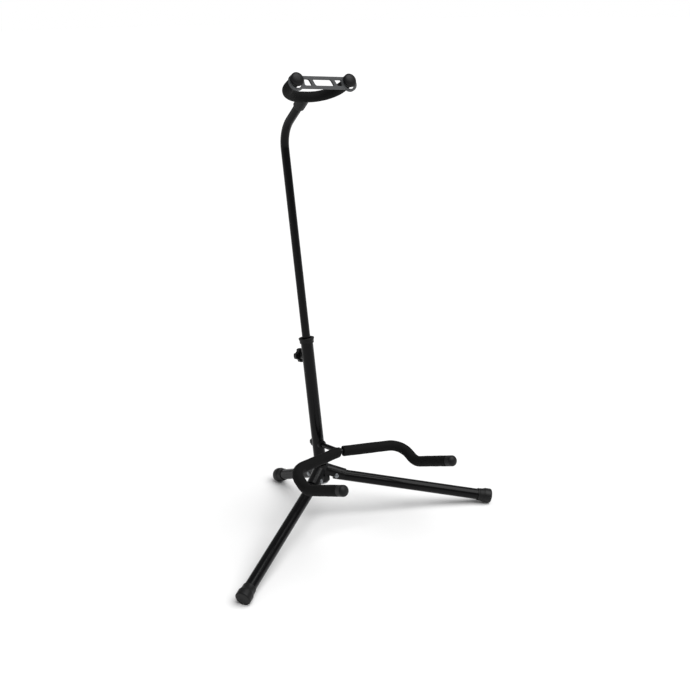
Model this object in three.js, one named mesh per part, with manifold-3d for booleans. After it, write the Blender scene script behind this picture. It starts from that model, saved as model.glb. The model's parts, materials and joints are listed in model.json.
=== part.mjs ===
// Folding tripod stand for one guitar, empty: a round steel mast that leans back on three folding
// legs, a padded cradle for the guitar's body low on the mast, and a padded neck yoke with a rubber
// strap on a sliding, swivelling upper tube. Millimetres. +Z is up and -Y is the front, where the
// guitar goes. The feet stand on Z = 0, and the origin is under the middle of the stand's box.

import * as THREE from 'three';
import { mergeVertices } from 'three/addons/utils/BufferGeometryUtils.js';
import Module from 'manifold-3d';

const wasm = await Module();
wasm.setup();

// ---------- driving dimensions ----------

const CLEARANCE = 0.3; // between pieces that touch or slide
const THROUGH = 40; // reach of a cutter that has to go right through a piece

// Mast. Heights on the mast are measured along it from the point where the leg axes meet.
const MAST_RADIUS = 11;
const MAST_WALL = 1.2;
const MAST_BOTTOM = -18;
const MAST_TOP = 249;
const PLUG_HEAD = 3; // end plugs: rim outside the tube
const PLUG_DEPTH = 12; // and the part inside it
const PLUG_WALL = 2;

// Tripod. The back leg is shorter than the front two, which is what leans the mast back.
const FRONT_LEG_LENGTH = 325; // along the leg, from the mast's axis to the middle of the foot's end
const BACK_LEG_LENGTH = 168;
const LEG_SPREAD = THREE.MathUtils.degToRad(120); // between neighbouring legs
const LEG_DROP = THREE.MathUtils.degToRad(16.5); // legs below the plane square to the mast
const LEG_RADIUS = 10;
const LEG_WALL = 1.2;
const PIVOT_ROOM = 13.2; // hub sleeve to the leg pivot, so that the leg's end can turn
const RIVET_RADIUS = 2.5;
const RIVET_HEAD_RADIUS = 4.4;
const RIVET_HEAD_HEIGHT = 1.6;
const LEG_PLUG_DEPTH = 16;

// Rubber feet
const FOOT_LENGTH = 26;
const FOOT_LIP_WALL = 0.9; // rubber round the tube at the lip
const FOOT_NECK = 9; // slim part from the lip to the flare
const FOOT_FLARE = 5; // length of the flare itself
const FOOT_END_WALL = 3.1; // and at the end
const FOOT_END_THICKNESS = 4;
const FOOT_EDGE = 2.5; // rounding of the foot's end, along the leg
const FOOT_FLAT_DEPTH = 0.8; // how much of the foot's lower edge is flat on the floor

// Hub and the pressed steel channels that hold the legs
const HUB_WALL = 3;
const HUB_INSET = 1; // bare tube below the sleeve
const HUB_TOP = 15;
const BRACKET_WALL = 1.6;
const BRACKET_LIP = 15.5; // leg pivot to the outer end of the channel
const BRACKET_HEAD_ROOM = 4.6; // how much higher the channel's crown is at the mast than at its lip
const BRACKET_SKIRT = 6; // side walls below the leg's axis

// Cradle for the guitar's body
const CRADLE_HEIGHT = 55; // height of its stem on the mast
const CRADLE_REACH = 68; // mast's axis to the cross run of the rod
const CRADLE_HALF_WIDTH = 116;
const CRADLE_SWEEP = 28; // corners of the cross run, forward of its middle
const CRADLE_SAG = 4; // and below it
const CRADLE_MIDDLE_BEND = 12;
const CRADLE_DIP_RUN = 40; // from the corners forwards to where the arms are lowest
const CRADLE_TIP_RUN = 107; // and from there to the tips
const CRADLE_DIP = 27; // below the stem
const CRADLE_TIP_INSET = 3; // tips level with the stem, and this much closer together than the arms
const CRADLE_BEND = 31;
const CRADLE_ROD_RADIUS = 5;
const CRADLE_FOAM_WALL = 4.1;
const CRADLE_FOAM_GAP = 1; // bare rod each side of the stem
const CRADLE_CAP_LENGTH = 17;
const CRADLE_ROLL = THREE.MathUtils.degToRad(4.5); // one nut holds the stem, and it sits a little turned
const STEM_RADIUS = 4.5;
const STEM_TAIL_RADIUS = 3;
const CRADLE_CAP_DOME = 6; // rounded part of the cap
const SADDLE_RADIUS = 8; // curved washers between the stem and the round tube
const SADDLE_WALL = 2.4;
const WASHER_RADIUS = 7;
const WASHER_THICKNESS = 1.4;
const NUT_RADIUS = 5.8;
const NUT_THICKNESS = 5;
const TAIL_SPARE = 3; // thread past the nut

// Collar and clamp knob at the top of the lower tube
const COLLAR_OVERLAP = 4.5; // collar below the top of the tube
const COLLAR_RISE = 5.2; // and above it
const COLLAR_WALL = 1.3;
const COLLAR_FLARE = 1.5; // how much wider the lip is
const COLLAR_BAND = 3; // straight part below the flare
const COLLAR_LIP = 1.8; // thickness of the lip
const COLLAR_DISH = 3.4; // the top is hollowed to this depth
const KNOB_DROP = 31; // knob below the top of the lower tube
const KNOB_RADIUS = 12.5;
const KNOB_THICKNESS = 8;
const KNOB_GAP = 5; // boss to the inner face of the knob
const KNOB_LOBES = 4;
const KNOB_LOBE_DEPTH = 3.2;
const KNOB_EDGE = 1;
const KNOB_BORE = 5;
const STUD_RADIUS = 3;
const BOSS_RADIUS = 7;
const BOSS_LENGTH = 6;

// Upper tube
const GLIDE_WALL = 1.8; // the bushing between the two tubes, which sets the upper tube's size
const NECK_WALL = 1.2;
const NECK_INSERTION = 73; // upper tube inside the lower one
const NECK_RUN = 335; // top of the lower tube to the start of the bend
const NECK_BEND_RADIUS = 55;
const NECK_BEND_ANGLE = THREE.MathUtils.degToRad(57);
const NECK_STRAIGHT = 61.5; // bend to the middle of the yoke's cross run
const GLIDE_LENGTH = 16;
const GLIDE_RING_HEIGHT = 2.2;

// Neck yoke
const YOKE_HALF_WIDTH = 48;
const YOKE_ARM = 62.5; // cross run to the middle of the buttons
const YOKE_FLAT = 6; // half the straight middle of the cross run; the corners bend from there
const YOKE_RISE = THREE.MathUtils.degToRad(19); // arms above the plane square to the mast
const YOKE_ROLL = THREE.MathUtils.degToRad(-5.5); // spigot sits a little turned in the tube
const YOKE_ROD_RADIUS = 4;
const YOKE_FOAM_WALL = 4.3;
const SPIGOT_LENGTH = 26; // part of the yoke's stem inside the tube
const SLEEVE_WALL = 2.2;
const SLEEVE_OVERLAP = 12; // sleeve over the tube
const SLEEVE_GAP = 4; // end of the tube to the yoke's foam
const BUTTON_RADIUS = 11;
const BUTTON_HEAD = 8;
const BUTTON_NECK_WALL = 1.7;
const BUTTON_NECK = 9;
const BUTTON_SOCKET = 2; // the rod goes this far into the head

// Rubber strap
const STRAP_THICKNESS = 3.4;
const STRAP_WIDTH = 20;
const STRAP_RAIL = 4.4;
const EYELET_HOLE_RADIUS = 9.5;
const EYELET_STEP = 3.5; // eyelets this much wider than the strap, each side
const RUNG_WIDTH = 5.5;
const RUNG_PLACE = 20; // rungs, from the strap's middle
const RUNG_SLANT = 4.5; // how far a rung leans from rail to rail

// ---------- finishes ----------

const paint = { color: 0x17181a, roughness: 0.3, metalness: 0.4 };
const pressedSteel = { color: 0x1b1c1e, roughness: 0.38, metalness: 0.4 };
const blackOxide = { color: 0x2a2b2d, roughness: 0.4, metalness: 0.8 };
const zinc = { color: 0x9a9c9f, roughness: 0.35, metalness: 0.9 };
const foam = { color: 0x1a1a1b, roughness: 0.95, metalness: 0 };
const rubber = { color: 0x252628, roughness: 0.75, metalness: 0 };
const strapRubber = { color: 0x4a4c4e, roughness: 0.6, metalness: 0 };
const plastic = { color: 0x1c1d1f, roughness: 0.5, metalness: 0 };
const greyPlastic = { color: 0x8b8d8f, roughness: 0.55, metalness: 0 };

// ---------- geometry helpers ----------

const v = (x, y, z) => new THREE.Vector3(x, y, z);

// Merged, closed and facing outwards.
function closed(geometry) {
  const bare = geometry.clone();
  bare.deleteAttribute('normal');
  bare.deleteAttribute('uv');
  const merged = mergeVertices(bare, 1e-4);
  const p = merged.attributes.position;
  const index = merged.index.array;
  let volume = 0;
  const [a, b, c] = [v(), v(), v()];
  for (let i = 0; i < index.length; i += 3) {
    a.fromBufferAttribute(p, index[i]);
    b.fromBufferAttribute(p, index[i + 1]);
    c.fromBufferAttribute(p, index[i + 2]);
    volume += a.dot(b.cross(c));
  }
  if (volume < 0) {
    for (let i = 0; i < index.length; i += 3) {
      [index[i], index[i + 1]] = [index[i + 1], index[i]];
    }
  }
  return merged;
}

function toSolid(geometry) {
  const g = closed(geometry);
  return new wasm.Manifold(new wasm.Mesh({
    numProp: 3,
    vertProperties: new Float32Array(g.attributes.position.array),
    triVerts: new Uint32Array(g.index.array),
  }));
}

function fromSolid(solid) {
  const mesh = solid.getMesh();
  const g = new THREE.BufferGeometry();
  g.setAttribute('position', new THREE.BufferAttribute(mesh.vertProperties, 3));
  g.setIndex(new THREE.BufferAttribute(mesh.triVerts, 1));
  return g;
}

const cut = (body, ...tools) =>
  fromSolid(tools.reduce((solid, tool) => solid.subtract(toSolid(tool)), toSolid(body)));

const join = (...bodies) =>
  fromSolid(bodies.map(toSolid).reduce((solid, other) => solid.add(other)));

// A turned piece about Z from [radius, height] pairs.
function turned(profile, segments = 16) {
  const points = profile.map(([radius, height]) => new THREE.Vector2(radius, height));
  return new THREE.LatheGeometry(points, segments).rotateX(Math.PI / 2);
}

// A ring section that closes on itself.
const ring = (inner, outer, low, high, segments) =>
  turned([[inner, low], [outer, low], [outer, high], [inner, high], [inner, low]], segments);

const disc = (radius, low, high, segments) =>
  turned([[0, low], [radius, low], [radius, high], [0, high]], segments);

// Turned pieces lie along Z; these lay them along X or along Y.
const alongX = (geometry) => geometry.rotateY(Math.PI / 2);
const alongY = (geometry) => geometry.rotateX(-Math.PI / 2);

function circle(radius, sides) {
  const points = [];
  for (let i = 0; i < sides; i++) {
    const angle = (2 * Math.PI * i) / sides;
    points.push(new THREE.Vector2(radius * Math.cos(angle), radius * Math.sin(angle)));
  }
  return points;
}

// A rod's centre line: straight runs, with an arc at every inner corner. The corners share one
// radius, or have a list of them.
class RodPath extends THREE.Curve {
  constructor(corners, bend, bendSteps) {
    super();
    this.stops = [corners[0].clone()];
    for (let i = 1; i < corners.length - 1; i++) {
      const radius = Array.isArray(bend) ? bend[i - 1] : bend;
      const back = corners[i - 1].clone().sub(corners[i]).normalize();
      const ahead = corners[i + 1].clone().sub(corners[i]).normalize();
      const half = back.angleTo(ahead) / 2;
      const middle = back.clone().add(ahead).normalize();
      const centre = corners[i].clone().addScaledVector(middle, radius / Math.sin(half));
      const start = corners[i].clone().addScaledVector(back, radius / Math.tan(half));
      const axis = back.clone().cross(ahead).normalize().negate();
      const sweep = Math.PI - 2 * half;
      for (let k = 0; k <= bendSteps; k++) {
        const spoke = start.clone().sub(centre).applyAxisAngle(axis, (sweep * k) / bendSteps);
        this.stops.push(spoke.add(centre));
      }
    }
    this.stops.push(corners[corners.length - 1].clone());
  }

  get steps() {
    return this.stops.length - 1;
  }

  getUtoTmapping(u) {
    return u;
  }

  getPoint(t, target = new THREE.Vector3()) {
    const place = THREE.MathUtils.clamp(t, 0, 1) * this.steps;
    const i = Math.min(Math.floor(place), this.steps - 1);
    return target.lerpVectors(this.stops[i], this.stops[i + 1], place - i);
  }

  getTangent(t, target = new THREE.Vector3()) {
    const i = Math.round(t * this.steps);
    const before = this.stops[Math.max(i - 1, 0)];
    const here = this.stops[i];
    const after = this.stops[Math.min(i + 1, this.steps)];
    const arriving = here.clone().sub(before).normalize();
    const leaving = after.clone().sub(here).normalize();
    return target.copy(arriving.add(leaving).normalize());
  }
}

// A rod, or with an inner radius a tube, along a path.
function swept(path, outer, inner = 0, sides = 16) {
  const section = new THREE.Shape(circle(outer, sides));
  if (inner > 0) {
    section.holes.push(new THREE.Path(circle(inner, sides)));
  }
  return new THREE.ExtrudeGeometry(section, { steps: path.steps, extrudePath: path });
}

function piece(name, geometry, finish) {
  const mesh = new THREE.Mesh(closed(geometry), new THREE.MeshStandardMaterial(finish));
  mesh.name = name;
  return mesh;
}

// ---------- stance ----------

// All legs leave the mast at one angle, so the lengths of the legs set the mast's lean.
const frontReach = FRONT_LEG_LENGTH * Math.cos(LEG_DROP) * Math.cos(LEG_SPREAD);
const frontFoot = v(0, frontReach, -FRONT_LEG_LENGTH * Math.sin(LEG_DROP));
const backFoot = v(0, BACK_LEG_LENGTH * Math.cos(LEG_DROP), -BACK_LEG_LENGTH * Math.sin(LEG_DROP));

const footBore = LEG_RADIUS + CLEARANCE;
const footEndRadius = footBore + FOOT_END_WALL;

// How far the middle of a foot's end hangs below the hub, with the mast leaning back.
const hang = (foot, angle) => foot.y * Math.sin(angle) - foot.z * Math.cos(angle);

// Height of the middle of a foot's end over the floor, on a leg whose end hangs this far down.
function footHeight(hung, length) {
  const slope = Math.asin(hung / length);
  return footEndRadius * Math.cos(slope) - FOOT_EDGE * Math.sin(slope) - FOOT_FLAT_DEPTH;
}

const feetSpan = frontFoot.distanceTo(backFoot);
const feetSlope = Math.atan2(backFoot.z - frontFoot.z, backFoot.y - frontFoot.y);
const settlingPasses = 5;
let lean = feetSlope;
for (let pass = 0; pass < settlingPasses; pass++) {
  const frontHeight = footHeight(hang(frontFoot, lean), FRONT_LEG_LENGTH);
  const backHeight = footHeight(hang(backFoot, lean), BACK_LEG_LENGTH);
  lean = feetSlope + Math.asin((frontHeight - backHeight) / feetSpan);
}
const frontHang = hang(frontFoot, lean);
const hubHeight = frontHang + footHeight(frontHang, FRONT_LEG_LENGTH);

const stand = new THREE.Group();
const mast = new THREE.Group(); // the mast's own frame: Z along it, origin where the leg axes meet
mast.rotation.x = -lean;
mast.position.z = hubHeight;
stand.add(mast);

// ---------- lower tube and hub ----------

const mastBore = MAST_RADIUS - MAST_WALL;
const knobHeight = MAST_TOP - KNOB_DROP;
const studHole = () => alongY(disc(STUD_RADIUS + CLEARANCE, 0, THROUGH));
const tailHole = () => alongY(disc(STEM_TAIL_RADIUS + CLEARANCE, -THROUGH, THROUGH));

mast.add(piece('lower_tube', cut(
  ring(mastBore, MAST_RADIUS, MAST_BOTTOM, MAST_TOP, 24),
  studHole().translate(0, 0, knobHeight),
  tailHole().translate(0, 0, CRADLE_HEIGHT),
), paint));

// Hollow moulded plug in the bottom of the tube.
const plugRadius = mastBore - CLEARANCE;
const plugTop = MAST_BOTTOM + PLUG_DEPTH;
mast.add(piece('lower_tube_plug', turned([
  [0, MAST_BOTTOM - PLUG_HEAD], [MAST_RADIUS - 1, MAST_BOTTOM - PLUG_HEAD],
  [MAST_RADIUS, MAST_BOTTOM - PLUG_HEAD + 1], [MAST_RADIUS, MAST_BOTTOM - CLEARANCE],
  [plugRadius, MAST_BOTTOM - CLEARANCE], [plugRadius, plugTop], [plugRadius - PLUG_WALL, plugTop],
  [plugRadius - PLUG_WALL, MAST_BOTTOM], [0, MAST_BOTTOM],
]), greyPlastic));

// The sleeve is at least wide enough for the three leg channels to stand side by side round it.
const channelInner = LEG_RADIUS + CLEARANCE;
const channelOuter = channelInner + BRACKET_WALL;
const hubInner = MAST_RADIUS + CLEARANCE;
const hubOuter = Math.max(hubInner + HUB_WALL, channelOuter / Math.sin(LEG_SPREAD / 2));
mast.add(piece('hub_sleeve', ring(hubInner, hubOuter, MAST_BOTTOM + HUB_INSET, HUB_TOP, 24), pressedSteel));

// ---------- legs ----------

// A leg's frame: X outwards along the leg, Y along the pivot, Z up. It starts on the mast's axis.
const pivotDistance = hubOuter + PIVOT_ROOM;
const bracketReach = pivotDistance + BRACKET_LIP;
const crownSlope = Math.atan2(BRACKET_HEAD_ROOM, bracketReach - hubOuter);

// The tube ends this far past its pivot, where its corners just turn under the crown.
const pivotHeadRoom = BRACKET_LIP * Math.tan(crownSlope);
const legTail = Math.sqrt(channelInner ** 2 - LEG_RADIUS ** 2) + pivotHeadRoom - CLEARANCE;

const pivotHole = () =>
  alongY(disc(RIVET_RADIUS + CLEARANCE, -THROUGH, THROUGH)).translate(pivotDistance, 0, 0);

// Half-round crown on straight sides, along X.
function channelBlank(radius, bottom, start, end) {
  const outline = new THREE.Shape();
  outline.moveTo(-radius, bottom);
  outline.lineTo(radius, bottom);
  outline.absarc(0, 0, radius, 0, Math.PI, false);
  outline.closePath();
  const blank = new THREE.ExtrudeGeometry(outline,
    { depth: end - start, bevelEnabled: false, curveSegments: 10 });
  blank.rotateX(Math.PI / 2).rotateZ(Math.PI / 2).translate(start, 0, 0);
  return blank;
}

function tiltCrown(geometry) {
  return geometry.translate(-bracketReach, 0, 0).rotateY(crownSlope).translate(bracketReach, 0, 0);
}

function legBracket() {
  const outer = tiltCrown(channelBlank(channelOuter, -BRACKET_SKIRT, 0, bracketReach));
  const inner = tiltCrown(channelBlank(channelInner, -THROUGH, -1, bracketReach + 1));
  const hubRoom = disc(hubOuter + CLEARANCE, -THROUGH, THROUGH, 24).rotateY(-LEG_DROP);
  return cut(outer, inner, pivotHole(), hubRoom);
}

function legRivet() {
  const reach = channelOuter + CLEARANCE;
  const end = reach + RIVET_HEAD_HEIGHT;
  const shoulder = RIVET_HEAD_RADIUS * 0.6;
  return alongY(turned([
    [0, -end], [shoulder, -end], [RIVET_HEAD_RADIUS, -reach - 0.4], [RIVET_HEAD_RADIUS, -reach],
    [RIVET_RADIUS, -reach], [RIVET_RADIUS, reach], [RIVET_HEAD_RADIUS, reach],
    [RIVET_HEAD_RADIUS, reach + 0.4], [shoulder, end], [0, end],
  ], 12)).translate(pivotDistance, 0, 0);
}

function legTube(length) {
  const bore = LEG_RADIUS - LEG_WALL;
  const blank = alongX(ring(bore, LEG_RADIUS, pivotDistance - legTail,
    length - FOOT_END_THICKNESS - CLEARANCE, 20));
  return cut(blank, pivotHole());
}

// Moulded plug that closes the leg tube's inner end and bears on the rivet.
function legPlug() {
  const start = pivotDistance - legTail;
  const radius = LEG_RADIUS - LEG_WALL - CLEARANCE;
  const end = start + LEG_PLUG_DEPTH;
  const body = alongX(turned([
    [0, start], [radius - 1, start], [radius, start + 1], [radius, end], [0, end],
  ]));
  return cut(body, pivotHole());
}

// Flared rubber cap, cut flat where it stands on the floor.
function legFoot(length, toStand) {
  const start = length - FOOT_LENGTH;
  const seat = length - FOOT_END_THICKNESS;
  const lip = footBore + FOOT_LIP_WALL;
  const flare = start + FOOT_NECK;
  const body = alongX(turned([
    [0, seat], [footBore, seat], [footBore, start], [lip, start], [lip + 0.5, flare],
    [footEndRadius, flare + FOOT_FLARE], [footEndRadius, length - FOOT_EDGE],
    [footEndRadius - 0.8, length - 0.8], [footEndRadius - FOOT_EDGE, length], [0, length],
  ], 20));
  const floor = new THREE.BoxGeometry(4 * length, 4 * length, 2 * length).translate(0, 0, -length);
  return cut(body, floor.applyMatrix4(toStand.clone().invert()));
}

for (const [side, turn, length] of [
  ['back', 0, BACK_LEG_LENGTH], ['right', -LEG_SPREAD, FRONT_LEG_LENGTH],
  ['left', LEG_SPREAD, FRONT_LEG_LENGTH],
]) {
  const leg = new THREE.Group();
  leg.rotation.set(0, LEG_DROP, Math.PI / 2 + turn, 'ZYX');
  mast.add(leg);
  stand.updateMatrixWorld(true);
  leg.add(
    piece(`leg_bracket_${side}`, legBracket(), pressedSteel),
    piece(`leg_rivet_${side}`, legRivet(), zinc),
    piece(`leg_tube_${side}`, legTube(length), paint),
    piece(`leg_plug_${side}`, legPlug(), plastic),
    piece(`leg_foot_${side}`, legFoot(length, leg.matrixWorld), rubber),
  );
}

// ---------- cradle for the guitar's body ----------

// The cradle's frame has its origin where the stem's axis meets the mast's axis.
const cradle = new THREE.Group();
cradle.position.z = CRADLE_HEIGHT;
cradle.rotation.y = CRADLE_ROLL;
mast.add(cradle);

const saddleReach = MAST_RADIUS + CLEARANCE + SADDLE_WALL; // outer face of a saddle washer
const washerStart = saddleReach + CLEARANCE;
const nutStart = washerStart + WASHER_THICKNESS + CLEARANCE;
const nutEnd = nutStart + NUT_THICKNESS;

const cradleFoamInner = CRADLE_ROD_RADIUS + CLEARANCE;
const cradleFoamRadius = cradleFoamInner + CRADLE_FOAM_WALL;
const crossMiddle = v(0, -CRADLE_REACH, 0);
const crossRun = v(CRADLE_HALF_WIDTH, -CRADLE_SWEEP, -CRADLE_SAG);
const corner = crossMiddle.clone().add(crossRun);
const dip = v(corner.x, corner.y - CRADLE_DIP_RUN, -CRADLE_DIP);
const tip = v(dip.x - CRADLE_TIP_INSET, dip.y - CRADLE_TIP_RUN, 0);
const mirrored = (p) => v(-p.x, p.y, p.z);
const tipRun = tip.clone().sub(dip).normalize();
const capStart = tip.clone().addScaledVector(tipRun, -CRADLE_CAP_LENGTH);
const rodEnd = tip.clone().addScaledVector(tipRun, -CRADLE_CAP_DOME);

const cradleRod = swept(new RodPath(
  [mirrored(rodEnd), mirrored(dip), mirrored(corner), crossMiddle, corner, dip, rodEnd],
  [CRADLE_BEND, CRADLE_BEND, CRADLE_MIDDLE_BEND, CRADLE_BEND, CRADLE_BEND], 5,
), CRADLE_ROD_RADIUS, 0, 10);
const stem = alongY(disc(STEM_RADIUS, -CRADLE_REACH, -saddleReach - CLEARANCE));
const stemTail = alongY(disc(STEM_TAIL_RADIUS, -CRADLE_REACH, nutEnd + TAIL_SPARE));
cradle.add(piece('cradle_frame', join(cradleRod, stem, stemTail), paint));

// Curved washer that seats the stem or its nut on the round tube, at the back unless turned.
function saddle() {
  const pad = alongY(disc(SADDLE_RADIUS, 0, saddleReach));
  const tube = disc(MAST_RADIUS + CLEARANCE, -THROUGH, THROUGH, 24);
  return cut(pad, tube, tailHole());
}
mast.add(piece('stem_saddle_front', saddle().rotateZ(Math.PI).translate(0, 0, CRADLE_HEIGHT), plastic));
mast.add(piece('stem_saddle_back', saddle().translate(0, 0, CRADLE_HEIGHT), plastic));

cradle.add(piece('stem_washer', alongY(ring(
  STEM_TAIL_RADIUS + CLEARANCE, WASHER_RADIUS, washerStart, washerStart + WASHER_THICKNESS)), blackOxide));
cradle.add(piece('stem_nut', cut(alongY(disc(NUT_RADIUS, nutStart, nutEnd, 6)), tailHole()), blackOxide));

// Turns a piece about Z to lie along a direction.
const along = (direction) => new THREE.Matrix4().makeRotationFromQuaternion(
  new THREE.Quaternion().setFromUnitVectors(v(0, 0, 1), direction));

// Rounded rubber cap on the rod's end, as thick as the foam, from its open end at Z = 0.
function cradleCap() {
  const bore = cradleFoamInner;
  const domeStart = CRADLE_CAP_LENGTH - CRADLE_CAP_DOME;
  const seat = domeStart + CLEARANCE;
  const dome = [0, Math.PI / 6, Math.PI / 3].map((angle) =>
    [cradleFoamRadius * Math.cos(angle), domeStart + CRADLE_CAP_DOME * Math.sin(angle)]);
  return turned([[0, seat], [bore, seat], [bore, CLEARANCE], [cradleFoamRadius, CLEARANCE],
    ...dome, [0, CRADLE_CAP_LENGTH]]);
}

const bareRod = STEM_RADIUS + CRADLE_FOAM_GAP; // from the middle of the rod to the foam
for (const [side, hand] of [['right', (p) => p.clone()], ['left', mirrored]]) {
  const foamStart = crossMiddle.clone().addScaledVector(crossRun.clone().normalize(), bareRod);
  const path = new RodPath([foamStart, corner, dip, capStart].map(hand), CRADLE_BEND, 5);
  cradle.add(piece(`cradle_foam_${side}`,
    swept(path, cradleFoamRadius, cradleFoamInner, 12), foam));
  const cap = cradleCap().applyMatrix4(along(hand(tipRun)));
  cap.translate(...hand(capStart).toArray());
  cradle.add(piece(`cradle_cap_${side}`, cap, rubber));
}

// ---------- collar, boss and clamp knob ----------

const glideRadius = mastBore - CLEARANCE;
const neckHole = glideRadius - GLIDE_WALL;
const neckRadius = neckHole - CLEARANCE;
const collarInner = MAST_RADIUS + CLEARANCE;
const collarBand = collarInner + COLLAR_WALL;
const collarLip = collarBand + COLLAR_FLARE;
const collarBottom = MAST_TOP - COLLAR_OVERLAP;
const collarTop = MAST_TOP + COLLAR_RISE;
const collarSeat = MAST_TOP + CLEARANCE;
mast.add(piece('tube_collar', turned([
  [collarInner, collarBottom], [collarBand, collarBottom], [collarBand, collarBottom + COLLAR_BAND],
  [collarLip, collarTop - 1], [collarLip - 0.6, collarTop], [collarLip - COLLAR_LIP, collarTop],
  [neckHole, collarTop - COLLAR_DISH], [neckHole, collarSeat], [collarInner, collarSeat],
  [collarInner, collarBottom],
], 20), plastic));

// Welded boss that carries the clamp's thread.
const boss = cut(
  alongY(disc(BOSS_RADIUS, 0, MAST_RADIUS + BOSS_LENGTH)),
  disc(MAST_RADIUS + CLEARANCE, -THROUGH, THROUGH, 24),
  studHole(),
);
mast.add(piece('clamp_boss', boss.translate(0, 0, knobHeight), paint));

const knobReach = MAST_RADIUS + BOSS_LENGTH + KNOB_GAP; // mast's axis to the knob's inner face

// Lobed thumb knob about Y, its bore open towards the mast.
function knobHead() {
  const outline = [];
  const points = 9 * KNOB_LOBES;
  for (let i = 0; i < points; i++) {
    const angle = (2 * Math.PI * i) / points;
    const hollow = KNOB_LOBE_DEPTH * (1 - Math.cos(KNOB_LOBES * angle)) / 2;
    const radius = KNOB_RADIUS - KNOB_EDGE - hollow;
    outline.push(new THREE.Vector2(radius * Math.sin(angle), radius * Math.cos(angle)));
  }
  const head = new THREE.ExtrudeGeometry(new THREE.Shape(outline), {
    depth: KNOB_THICKNESS - 2 * KNOB_EDGE, bevelThickness: KNOB_EDGE, bevelSize: KNOB_EDGE, bevelSegments: 1,
  });
  head.rotateX(-Math.PI / 2).translate(0, knobReach + KNOB_EDGE, 0);
  return cut(head, alongY(disc(STUD_RADIUS + CLEARANCE, 0, knobReach + KNOB_BORE)));
}
const knob = new THREE.Group();
knob.position.z = knobHeight;
mast.add(knob);
knob.add(piece('knob_head', knobHead(), plastic));
const studEnd = knobReach + KNOB_BORE - CLEARANCE;
knob.add(piece('knob_stud', alongY(disc(STUD_RADIUS, neckHole, studEnd)), zinc));

// ---------- upper tube ----------

const neckBore = neckRadius - NECK_WALL;
const neckBottom = MAST_TOP - NECK_INSERTION;
const neckEnd = v(0, -Math.sin(NECK_BEND_ANGLE), Math.cos(NECK_BEND_ANGLE)); // its direction at the top
const bendTangent = NECK_BEND_RADIUS * Math.tan(NECK_BEND_ANGLE / 2);
const neckCorner = v(0, 0, MAST_TOP + NECK_RUN + bendTangent);
const yokeCentre = neckCorner.clone().addScaledVector(neckEnd, bendTangent + NECK_STRAIGHT);
const yokeFoamInner = YOKE_ROD_RADIUS + CLEARANCE;
const yokeFoamRadius = yokeFoamInner + YOKE_FOAM_WALL;
const tubeStop = yokeFoamRadius + SLEEVE_GAP; // end of the tube, short of the yoke's cross run
const neckPath = new RodPath(
  [v(0, 0, neckBottom), neckCorner, yokeCentre.clone().addScaledVector(neckEnd, -tubeStop)],
  NECK_BEND_RADIUS, 6);
mast.add(piece('neck_tube', swept(neckPath, neckRadius, neckBore, 16), paint));

// Bushing that slides in the lower tube, held between a plug's rim and a retaining ring.
const rimRadius = glideRadius - CLEARANCE;
const glideTop = neckBottom + GLIDE_LENGTH;
const ringStart = glideTop + CLEARANCE;
mast.add(piece('glide_bushing', ring(neckHole, glideRadius, neckBottom, glideTop), plastic));
mast.add(piece('glide_ring', ring(neckHole, rimRadius, ringStart, ringStart + GLIDE_RING_HEIGHT), zinc));
mast.add(piece('neck_tube_plug', turned([
  [0, neckBottom - PLUG_HEAD], [rimRadius, neckBottom - PLUG_HEAD], [rimRadius, neckBottom - CLEARANCE],
  [neckBore - CLEARANCE, neckBottom - CLEARANCE], [neckBore - CLEARANCE, neckBottom + PLUG_DEPTH],
  [0, neckBottom + PLUG_DEPTH],
]), plastic));

// ---------- neck yoke ----------

// The yoke's frame has its origin in the middle of the cross run, with the arms along -Y.
const yoke = new THREE.Group();
yoke.position.copy(yokeCentre);
yoke.quaternion.setFromAxisAngle(neckEnd, YOKE_ROLL)
  .multiply(new THREE.Quaternion().setFromAxisAngle(v(1, 0, 0), -YOKE_RISE));
mast.add(yoke);
const spigotRun = neckEnd.clone().applyQuaternion(yoke.quaternion.clone().invert());

const yokeBend = YOKE_HALF_WIDTH - YOKE_FLAT;
const yokePath = (reach) => new RodPath([
  v(-YOKE_HALF_WIDTH, -reach, 0), v(-YOKE_HALF_WIDTH, 0, 0), v(YOKE_HALF_WIDTH, 0, 0),
  v(YOKE_HALF_WIDTH, -reach, 0)], yokeBend, 6);
const laid = (geometry) => geometry.applyMatrix4(along(spigotRun));

const spigotRadius = neckBore - CLEARANCE;
const spigot = laid(disc(spigotRadius, -tubeStop - SPIGOT_LENGTH, 0));
yoke.add(piece('yoke_frame', join(
  swept(yokePath(YOKE_ARM + BUTTON_SOCKET), YOKE_ROD_RADIUS, 0, 10), spigot), paint));

const foamEnd = YOKE_ARM - BUTTON_NECK - CLEARANCE;
yoke.add(piece('yoke_foam', cut(
  swept(yokePath(foamEnd), yokeFoamRadius, yokeFoamInner, 12),
  laid(disc(spigotRadius + CLEARANCE, -THROUGH, 0)),
), foam));

// Short rubber sleeve over the end of the tube, shaped to the foam above it.
const sleeveStart = -tubeStop - SLEEVE_OVERLAP;
const sleeveStep = -tubeStop + CLEARANCE;
const sleeve = laid(turned([
  [spigotRadius + CLEARANCE, sleeveStep], [neckHole, sleeveStep], [neckHole, sleeveStart],
  [neckHole + SLEEVE_WALL - 0.4, sleeveStart], [neckHole + SLEEVE_WALL, sleeveStart + 1],
  [neckHole + SLEEVE_WALL, 0], [spigotRadius + CLEARANCE, 0], [spigotRadius + CLEARANCE, sleeveStep],
], 20));
yoke.add(piece('yoke_sleeve', cut(
  sleeve, swept(yokePath(foamEnd), yokeFoamRadius + CLEARANCE, 0, 12)), rubber));

const buttonNeckRadius = yokeFoamInner + BUTTON_NECK_WALL;

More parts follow.
